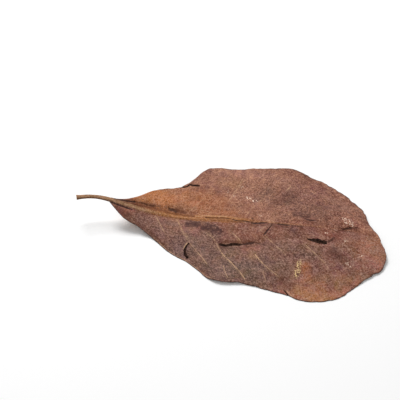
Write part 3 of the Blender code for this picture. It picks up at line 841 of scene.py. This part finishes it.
def grain_group():
    # Weathering of a dried leaf: a colour made lighter and darker in grains, and the height of the grains
    shared, build, given, result = new_group(
        "leaf grain",
        (("Colour", "Color"), ("Position", "Vector"), ("Contrast", "Float")),
        (("Colour", "Color"), ("Height", "Float"), ("Speckle", "Float"), ("Fibres", "Float")),
    )
    position = given["Position"]
    veins = build.map("veins")
    blotch = build.noise(position, 70.0, 3.0, 0.6, 0.5)
    mottle = build.noise(position, 240.0, 3.0, 0.65, 0.4)
    speckle = build.noise(position, 820.0, 2.0, 0.7)
    dust = build.noise(position, 1250.0, 2.0, 0.6)
    warmth = build.noise(position, 330.0)
    patchy = build.range(build.noise(position, 42.0), 0.35, 0.65, 0.5, 1.25)
    amount = build.times(patchy, given["Contrast"])
    level = 0.0
    for grains, low, high, much in (
        (blotch, 0.3, 0.7, 0.06), (mottle, 0.3, 0.7, 0.06), (dust, 0.34, 0.66, 0.44),
    ):
        level = build.times_plus(build.range(grains, low, high, -1.0, 1.0), much, level)
    # Fine strands along the side veins and across them, some of them pale
    fibres = 0.0
    for along, across in ((170.0, 14.0), (26.0, 110.0)):
        place = build.join(build.times(veins[0], along), build.times(veins[1], across))
        strand = build.noise(place, 1.0, 2.0, 0.5, 0.15)
        thin = build.math("ABSOLUTE", build.math("SUBTRACT", strand, 0.5))
        fibres = build.math("MAXIMUM", fibres, build.fall(thin, 0.0, 0.035))
        level = build.times_plus(build.range(strand, 0.3, 0.7, -1.0, 1.0), 0.1, level)
    # Light grains go towards a pale mauve bloom, dark ones towards a warm brown
    level = build.times(level, given["Contrast"])
    raised = build.math("MAXIMUM", level, 0.0)
    sunk = build.math("MAXIMUM", build.times(level, -1.0), 0.0)
    colour = given["Colour"]
    for mask, much, shade in (
        (raised, 0.4, (230, 190, 170)),
        (sunk, 1.0, (50, 20, 10)),
        (build.range(warmth, 0.5, 0.64), 0.05, (170, 108, 74)),
        (build.range(warmth, 0.5, 0.36), 0.06, (92, 62, 66)),
        (build.range(speckle, 0.52, 0.66), build.times(amount, 0.12), (228, 196, 184)),
        (build.range(speckle, 0.48, 0.34), build.times(amount, 0.3), (50, 24, 16)),
    ):
        colour = build.paint(colour, mask, much, shade)
    build.feed(result["Colour"], colour)
    build.feed(result["Height"], build.times_plus(speckle, 0.35, build.times(mottle, 0.6)))
    build.feed(result["Speckle"], speckle)
    build.feed(result["Fibres"], build.times(fibres, build.range(speckle, 0.4, 0.62)))
    return shared


def finish(name, shine, rough=0.5):
    mat = bpy.data.materials.new(name)
    mat.use_nodes = True
    shader = mat.node_tree.nodes["Principled BSDF"]
    shader.inputs["Specular IOR Level"].default_value = shine
    shader.inputs["Roughness"].default_value = rough
    build = Nodes(mat.node_tree)
    return mat, build, shader, build.add("ShaderNodeTexCoord").outputs["Object"]


# Colour regions of the upper face, each with its centre from the blade's base, radii, strength and tone
UPPER_REGIONS = (
    (34, 16, 48, 22, 0.95, 192, 123, 62), (74, 18, 36, 20, 0.85, 150, 86, 33),
    (98, 32, 34, 20, 0.8, 139, 92, 72), (92, 53, 50, 12, 0.85, 158, 113, 98),
    (110, 10, 32, 11, 0.7, 139, 91, 66), (150, 44, 32, 22, 0.85, 115, 69, 70),
    (131, 32, 15, 13, 0.7, 110, 74, 69), (176, 16, 22, 17, 0.75, 142, 84, 72),
    (194, -6, 20, 24, 0.85, 166, 104, 76), (104, -38, 54, 25, 0.95, 70, 60, 56),
    (64, -26, 36, 21, 0.95, 66, 52, 48), (34, -12, 26, 13, 0.85, 96, 66, 61),
    (12, -6, 12, 6, 0.8, 152, 88, 72), (106, -8, 38, 10, 0.9, 116, 57, 33),
    (140, -3, 24, 10, 0.7, 99, 54, 42), (150, -28, 18, 15, 0.7, 99, 61, 48),
    (172, -22, 18, 15, 0.7, 112, 70, 62), (160, -48, 30, 12, 0.95, 172, 114, 70),
    (186, -33, 15, 12, 0.85, 174, 120, 90),
)

# Small marks of the upper face in the same way; the dark one at 24, -5 is painted shade where the base of
# the front half turns down
UPPER_MARKS = (
    (148.2, -31, 5.5, 7.5, 0.95, 164, 94, 44), (80, -2.5, 12, 5, 0.6, 106, 54, 28),
    (150.4, -38.5, 6.5, 7, 0.85, 166, 102, 54), (50, 10, 15, 7, 0.85, 128, 84, 52),
    (66, 7.6, 12, 3.4, 0.4, 176, 120, 66), (48, -5, 12, 4.5, 0.6, 92, 66, 68),
    (68, -2, 18, 6, 0.85, 92, 54, 38), (78, -12, 15, 10, 0.85, 84, 58, 46),
    (124, -4, 9, 5, 0.5, 106, 52, 30), (132, -18, 18, 11, 0.85, 92, 66, 52),
    (150, -20, 17, 11, 0.85, 84, 56, 45), (108, -39, 15, 7, 0.5, 124, 101, 88),
    (156, -50, 20, 7, 0.85, 178, 124, 78), (172, -38, 14, 10, 0.8, 150, 107, 78),
    (126, 49, 19, 11, 0.85, 146, 106, 94), (160, 43, 17, 11, 0.8, 140, 98, 83),
    (113, 28, 13, 10, 0.6, 116, 86, 74), (146, 22, 22, 12, 0.85, 106, 70, 60),
    (122, 22, 16, 8, 0.6, 120, 78, 62), (140, 4, 16, 8, 0.85, 118, 58, 42),
    (164, 0, 18, 9, 0.85, 127, 61, 46), (177, 7, 16, 11, 0.85, 112, 62, 48),
    (92, 3, 26, 8, 0.85, 140, 84, 36), (84, 40, 18, 11, 0.8, 150, 107, 76),
    (197, -10, 10, 13, 0.8, 152, 108, 86), (86, -22, 18, 7, 0.75, 84, 64, 54),
    (132, -34, 14, 10, 0.75, 98, 71, 57), (76, -37.5, 5, 5, 0.45, 112, 90, 58),
    (188.7, -27.7, 4, 4, 0.7, 84, 66, 54), (170, -14, 7, 4.5, 0.5, 86, 54, 62),
    (172, -26, 6, 4, 0.4, 98, 62, 66), (134.5, -50.4, 5, 2, 0.7, 166, 82, 60),
    (106, -21, 8, 3, 0.5, 152, 84, 58), (112, -20, 8, 3, 0.5, 148, 82, 60),
    (104, -12, 10, 3, 0.4, 140, 78, 58), (62, 18, 8, 4, 0.35, 186, 108, 80),
    (110.2, -26.4, 5.5, 5, 0.7, 138, 108, 66), (84, -23, 4, 5, 0.35, 140, 112, 78),
    (58, -12, 3, 4, 0.3, 140, 112, 84), (129, 26, 4.5, 5, 0.5, 120, 102, 86),
    (113.6, 36.4, 5, 5, 0.35, 128, 106, 92), (199, -15, 7, 9, 0.8, 184, 118, 96),
    (177.7, -42, 6, 5, 0.7, 180, 112, 88), (183, -35, 6, 3, 0.4, 166, 98, 78),
    (145, -53.2, 4.5, 2, 0.8, 150, 76, 48), (145, -46, 3, 3, 0.4, 190, 140, 116),
    (46, 18, 9, 4, 0.35, 186, 114, 88), (24, -5, 9, 4, 0.9, 96, 56, 46),
    (86, 9.5, 17, 5, 0.4, 170, 106, 52), (143, -23, 10, 7, 0.6, 78, 52, 42),
    (129, 41, 8, 6, 0.4, 152, 112, 98), (58, -29, 9, 8, 0.6, 118, 98, 92),
    (77, -39, 12, 5, 0.7, 60, 46, 44), (110, -49, 10, 4, 0.4, 62, 50, 48),
)

# White flecks: centre, radius
FLECKS = (
    (100.5, 25.8, 2.8), (105.3, 23.7, 2.6), (172.8, 18.2, 3.4), (176.8, 17.2, 2.8), (173.6, 14.4, 2.4),
    (177.6, 14, 2.0), (185.9, -13.5, 2.0), (176.8, -22.2, 1.9), (170, -29.8, 1.5), (174.5, -5, 1.5),
    (178.8, -24.3, 1.4), (93, 37, 1.6), (89, 26, 1.5), (84, 30, 1.4), (111, 8, 1.4),
    (160, -1, 1.4),
)


def in_frame(spot):
    return ((spot[0] - MIDDLE[0]) * MM, (spot[1] - MIDDLE[1]) * MM, 0.0)


def flat_position(build, position, wander, scale):
    # Position over the table, pushed about so that region rims aren't smooth
    parts = build.split(position)
    inputs = {"Vector": position, "Scale": scale, "Detail": 4.0, "Roughness": 0.65}
    push = build.add("ShaderNodeTexNoise", inputs).outputs[1]
    push = build.vector("SUBTRACT", push, (0.5, 0.5, 0.5))
    push = build.vector("MULTIPLY", push, (wander, wander, 0.0))
    return build.vector("ADD", build.join(parts[0], parts[1]), push)


def patch(build, position, spot, radius, softness):
    size = (radius[0] * MM, radius[1] * MM, 1.0)
    inputs = {"Position": position, "Centre": in_frame(spot), "Radius": size, "Softness": softness}
    return build.group("patch", inputs)["Mask"]


def drawn(build, position, line, rag, core):
    inputs = {"Map": line, "Position": position, "Rag": rag, "Core": core}
    return build.group("line", inputs)["Mask"]


def raise_surface(build, shader, strength, distance, height, masks):
    # Relief too fine for the mesh, from a height and what the masks add to it
    for mask, much in masks:
        height = build.times_plus(mask, much, height)
    bump = build.add("ShaderNodeBump", {"Strength": strength, "Distance": distance, "Height": height})
    build.feed(shader.inputs["Normal"], bump.outputs[0])


def upper_ground(build, position, level, near, front):
    # Regions and marks, then a drift of the tone and small fields between the veins, then faint tints
    colour = tone(126, 80, 64)
    for marks, place, softness in ((UPPER_REGIONS, level, 0.9), (UPPER_MARKS, near, 0.85)):
        for x, y, long, wide, strength, *shade in marks:
            mask = patch(build, place, (x, y), (long, wide), softness)
            colour = build.paint(colour, mask, strength, shade)

    drift = build.noise(position, 130.0, 4.0, 0.65, 0.6)
    field = build.add("ShaderNodeTexVoronoi", {"Vector": near, "Scale": 230.0}).outputs["Color"]
    field = build.split(field)
    for mask, much, shade in (
        (build.range(drift, 0.5, 0.75), 0.2, (104, 66, 66)),
        (build.range(drift, 0.5, 0.28), 0.15, (166, 112, 76)),
        (build.range(field[0], 0.55, 1.0), 0.24, (88, 50, 54)),
        (build.range(field[1], 0.55, 1.0), 0.16, (176, 124, 96)),
    ):
        colour = build.paint(colour, mask, much, shade)

    # Olive and mauve, clearer on the front half
    hue = build.noise(position, 115.0, 2.0, 0.5, 0.8)
    clear = build.times_plus(front, 0.55, 0.35)
    for full, tint in ((0.68, (0.94, 1.05, 0.78, 1.0)), (0.32, (1.03, 0.94, 1.3, 1.0))):
        colour = build.mix(build.times(build.range(hue, 0.5, full), clear), colour, tint, "MULTIPLY")
    return colour


def upper_veins(build, position, level, near, front, net, colour):
    # The fine net, the ladder, the dark web of the back half and the side veins
    broken = build.range(build.noise(position, 160.0), 0.38, 0.58)
    net_tone = build.mix(front, tone(204, 156, 124), tone(172, 142, 130))
    much = build.times_plus(front, -0.2, 0.45)
    much = build.times_plus(patch(build, level, (188, -8), (34, 34), 0.7), 0.4, much)
    colour = build.mix(build.times(net["Fine Net"], build.times(broken, much)), colour, net_tone)
    colour = build.mix(build.times(net["Ladder"], build.times_plus(broken, 0.24, 0.1)), colour, net_tone)
    web = build.fall(build.rims(near, 270.0), 0.02, 0.2)
    web = build.times(web, patch(build, level, (148, 30), (44, 34), 0.6))
    colour = build.paint(colour, web, build.times_plus(broken, 0.3, 0.1), (84, 44, 42))
    patchy = build.range(build.noise(position, 90.0), 0.35, 0.65, 0.0, 0.22)
    return build.paint(colour, net["Side Veins"], patchy, (186, 144, 100))


def upper_midrib(build, position, aside, colour):
    # A band of tan beside the midrib, partly the leaf's own colour and partly painted light on the lit side
    # of the ridge; the midrib is grey tan at the base and a thin tan line further on
    along = build.times_plus(build.split(position)[0], 1 / MM, MIDDLE[0])
    rib = build.fall(build.from_middle(build.map("ribs")[0], RIB_SPAN), 0.8, 1.2)
    rib = build.times(rib, build.range(along, 50.0, 90.0, 0.95, 0.4))
    rib = build.times(rib, build.range(along, 130.0, 175.0, 1.0, 0.3))
    rib_tone = build.mix(build.range(along, 15.0, 50.0), tone(150, 120, 84), tone(166, 114, 58))
    wander = build.times(build.math("SUBTRACT", build.noise(position, 130.0, 3.0), 0.5), 3.0)
    band = build.math("ADD", aside, wander)
    band = build.math("SUBTRACT", band, build.range(along, 84.0, 112.0, 3.4, 0.9))
    band = build.times(build.fall(band, -0.6, 0.7), build.range(along, 18.0, 40.0, 0.0, 0.85))
    band = build.times(band, build.fall(along, 94.0, 122.0))
    colour = build.mix(band, colour, tone(160, 103, 44))
    return build.mix(rib, colour, rib_tone)


def upper_finish():
    mat, build, shader, position = finish("upper face", 0.15)
    level = flat_position(build, position, 0.026, 60.0)
    near = flat_position(build, position, 0.005, 220.0)
    net = build.group("net", {"Position": position, "Vein Width": 0.42, "Net Width": 0.08})
    front = build.math("LESS_THAN", build.map("veins")[1], 0.5)
    reach = build.map("reach")
    aside = build.math("ABSOLUTE", build.times_plus(reach[1], 2 * REACH_SPAN, -0.6 - REACH_SPAN))
    colour = upper_ground(build, position, level, near, front)
    colour = upper_veins(build, position, level, near, front, net, colour)
    colour = upper_midrib(build, position, aside, colour)

    # Grains, stronger in some places
    contrast = 0.92
    for spot, radius, more in (
        ((144, 30), (72, 46), 0.45), ((188, -8), (34, 34), 0.12), ((58, -18), (42, 26), 0.25),
    ):
        contrast = build.times_plus(patch(build, level, spot, radius, 0.7), more, contrast)
    grained = build.group("grain", {"Colour": colour, "Position": position, "Contrast": contrast})

    # Soft painted shade and plum patches, pale veins with painted highlights on lit rims, cracks with
    # painted shade in creases, and a thin line of painted shade along the margin
    shades = build.map("shades")
    plum_patch_and_shade_map = build.join(shades[0], build.math("MAXIMUM", shades[1], 0.0))
    brown_shade_map = build.join(shades[0], build.math("MAXIMUM", build.times(shades[1], -1.0), 0.0))
    worn = build.range(build.noise(position, 420.0, 2.0, 0.6), 0.4, 0.56, 0.3, 1.0)
    pale_veins_and_lit_rims = build.times(drawn(build, position, build.uv("pale_veins_and_lit_rims"), 1.6, 0.35), worn)
    cracks_and_crease_shade = drawn(build, position, build.uv("cracks_and_crease_shade"), 1.6, 0.35)
    # A thin line of painted shade along the margin
    edge_shade = build.fall(build.times(reach[0], REACH_SPAN), 0.2, 1.2)
    ragged = build.range(build.noise(position, 300.0), 0.35, 0.55)

    # White flecks and pale yellow flakes, which have dark pits between them
    flecks = 0.0
    for x, y, radius in FLECKS:
        flecks = build.math("MAXIMUM", flecks, patch(build, near, (x, y), (radius, radius * 0.8), 0.5))
    glint = build.range(build.noise(position, 1150.0, 1.0), 0.53, 0.59)
    flaky = build.math("MAXIMUM", patch(build, near, (143.4, -29.6), (2.8, 4.4), 0.6),
                       patch(build, near, (142.8, -36), (2.8, 5.2), 0.6))
    scaly = build.noise(position, 1150.0, 2.0, 0.7)

    colour = grained["Colour"]
    for mask, much, shade in (
        (grained["Fibres"], build.times_plus(front, 0.24, 0.2), (206, 172, 160)),
        (drawn(build, position, plum_patch_and_shade_map, 3.6, 0.0), 0.9, (66, 36, 34)),
        (drawn(build, position, brown_shade_map, 3.6, 0.0), 0.75, (88, 46, 26)),
        (pale_veins_and_lit_rims, 0.9, (226, 192, 156)),
        (cracks_and_crease_shade, 0.95, (36, 20, 17)),
        (edge_shade, build.times(ragged, 0.6), (78, 54, 50)),
        (flecks, glint, (250, 230, 214)),
        (flaky, build.range(scaly, 0.5, 0.57), (238, 214, 160)),
        (flaky, build.range(scaly, 0.46, 0.38, 0.0, 0.7), (70, 44, 30)),
    ):
        colour = build.paint(colour, mask, much, shade)
    # Warm cast of the whole face
    colour = build.mix(1.0, colour, (0.99, 0.88, 0.82, 1.0), "MULTIPLY")
    build.feed(shader.inputs["Base Color"], colour)
    build.feed(shader.inputs["Roughness"], build.range(grained["Speckle"], 0.3, 0.7, 0.52, 0.72))
    wrinkle = build.noise(position, 240.0, 3.0, 0.6, 1.2)
    raise_surface(build, shader, 0.65, 0.0011, grained["Height"], (
        (wrinkle, 0.3), (net["Ladder"], 0.08), (net["Fine Net"], 0.05), (net["Side Veins"], 0.12),
        (pale_veins_and_lit_rims, 0.15), (cracks_and_crease_shade, -0.5),
    ))
    return mat


def under_finish():
    mat, build, shader, position = finish("underside", 0.15, 0.8)
    net = build.group("net", {"Position": position, "Vein Width": 1.15, "Net Width": 0.13})
    colour = build.mix(build.noise(position, 20.0, 3.0), tone(118, 80, 56), tone(150, 106, 74))
    dark = build.range(build.noise(position, 80.0, 4.0, 0.6), 0.5, 0.75)
    colour = build.paint(colour, dark, 0.55, (92, 60, 48))
    colour = build.paint(colour, net["Fine Net"], 0.3, (176, 136, 96))
    colour = build.paint(colour, net["Ladder"], 0.5, (180, 138, 96))
    grained = build.group("grain", {"Colour": colour, "Position": position, "Contrast": 0.8})
    # Cracks and the lines of painted crease shade, drawn darker underneath too
    cracks_and_crease_shade = drawn(build, position, build.uv("cracks_and_crease_shade"), 1.0, 0.3)
    colour = build.paint(grained["Colour"], cracks_and_crease_shade, 0.6, (58, 38, 30))
    colour = build.paint(colour, net["Side Veins"], 0.8, (178, 136, 94))
    # Midrib, streaked along
    offset = build.from_middle(build.map("ribs")[0], RIB_SPAN)
    length = build.times(build.map("veins")[0], 60.0)
    streaks = build.noise(build.join(length, offset), 4.0, 3.0, 0.6)
    rib_tone = build.mix(streaks, tone(126, 92, 64), tone(170, 128, 88))
    colour = build.mix(build.fall(offset, 0.9, 1.15), colour, rib_tone)
    build.feed(shader.inputs["Base Color"], colour)
    raise_surface(build, shader, 0.8, 0.0009, grained["Height"], (
        (net["Ladder"], 0.35), (net["Fine Net"], 0.15), (net["Side Veins"], 0.3),
    ))
    return mat


def edge_finish():
    mat, build, shader, position = finish("broken edge and gap shade", 0.1, 0.9)
    # Dark brown of the cut walls, partly their own colour and partly painted shade, so that the tears read
    # as dark gaps
    worn = build.range(build.noise(position, 700.0), 0.35, 0.65)
    build.feed(shader.inputs["Base Color"], build.mix(worn, tone(26, 15, 12), tone(62, 40, 31)))
    return mat


def floor_finish():
    mat, build, shader, position = finish("pale floor", 0.1, 0.95)
    tint = build.mix(build.noise(position, 3.0), tone(251, 251, 251), tone(253, 253, 253))
    build.feed(shader.inputs["Base Color"], tint)
    return mat


def make_leaf():
    mesh, grid, high, plain = leaf_mesh()
    for mat in (upper_finish(), under_finish(), edge_finish()):
        mesh.materials.append(mat)
    leaf = show("dried_leaf", mesh)
    cut_tears(leaf, grid, high, plain)
    mesh = leaf.data
    spots = np.zeros(len(mesh.vertices) * 3, np.float32)
    mesh.vertices.foreach_get("co", spots)
    spots = spots.reshape(-1, 3)
    spots[:, 0] -= MIDDLE[0] * MM
    spots[:, 1] -= MIDDLE[1] * MM
    mesh.vertices.foreach_set("co", spots.ravel())
    mesh.update()
    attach(leaf, "root")
    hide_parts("leaf")


def make_stage():
    body = bmesh.new()
    bmesh.ops.create_grid(body, x_segments=1, y_segments=1, size=3.0)
    mesh = mesh_from(body, "floor")
    mesh.materials.append(floor_finish())
    floor = show("floor", mesh)


def make_light():
    world = bpy.data.worlds.new("studio")
    world.use_nodes = True
    sky = world.node_tree.nodes["Background"]
    sky.inputs["Color"].default_value = (1, 1, 1, 1)
    sky.inputs["Strength"].default_value = 0.42
    bpy.context.scene.world = world
    for name, place, size, power in (
        ("overhead box", (-0.35, 0.55, 0.85), 0.5, 9.2),
        ("front fill", (0.3, -0.9, 0.8), 0.8, 2.0),
    ):
        lamp = bpy.data.lights.new(name, "AREA")
        lamp.size = size
        lamp.energy = power
        lit = show(name, lamp)
        lit.location = place
        lit.rotation_euler = (-Vector(place)).to_track_quat("-Z", "Y").to_euler()


def make_camera():
    turn = math.radians(CAMERA_TURN)
    drop = math.radians(CAMERA_DROP)
    view = Vector((-math.sin(turn) * math.cos(drop), math.cos(turn) * math.cos(drop), -math.sin(drop)))
    camera = show("camera", bpy.data.cameras.new("camera"))
    camera.data.lens = CAMERA_LENS
    camera.data.sensor_width = SENSOR
    camera.location = Vector(in_frame(AIM)) - CAMERA_REACH * view
    camera.rotation_euler = view.to_track_quat("-Z", "Y").to_euler()
    bpy.context.scene.camera = camera


SHARED["patch"] = soft_patch_group()
SHARED["line"] = drawn_line_group()
SHARED["net"] = vein_net_group()
SHARED["grain"] = grain_group()
make_leaf()
make_stage()
make_light()
make_camera()
bpy.context.scene.view_settings.view_transform = "Standard"
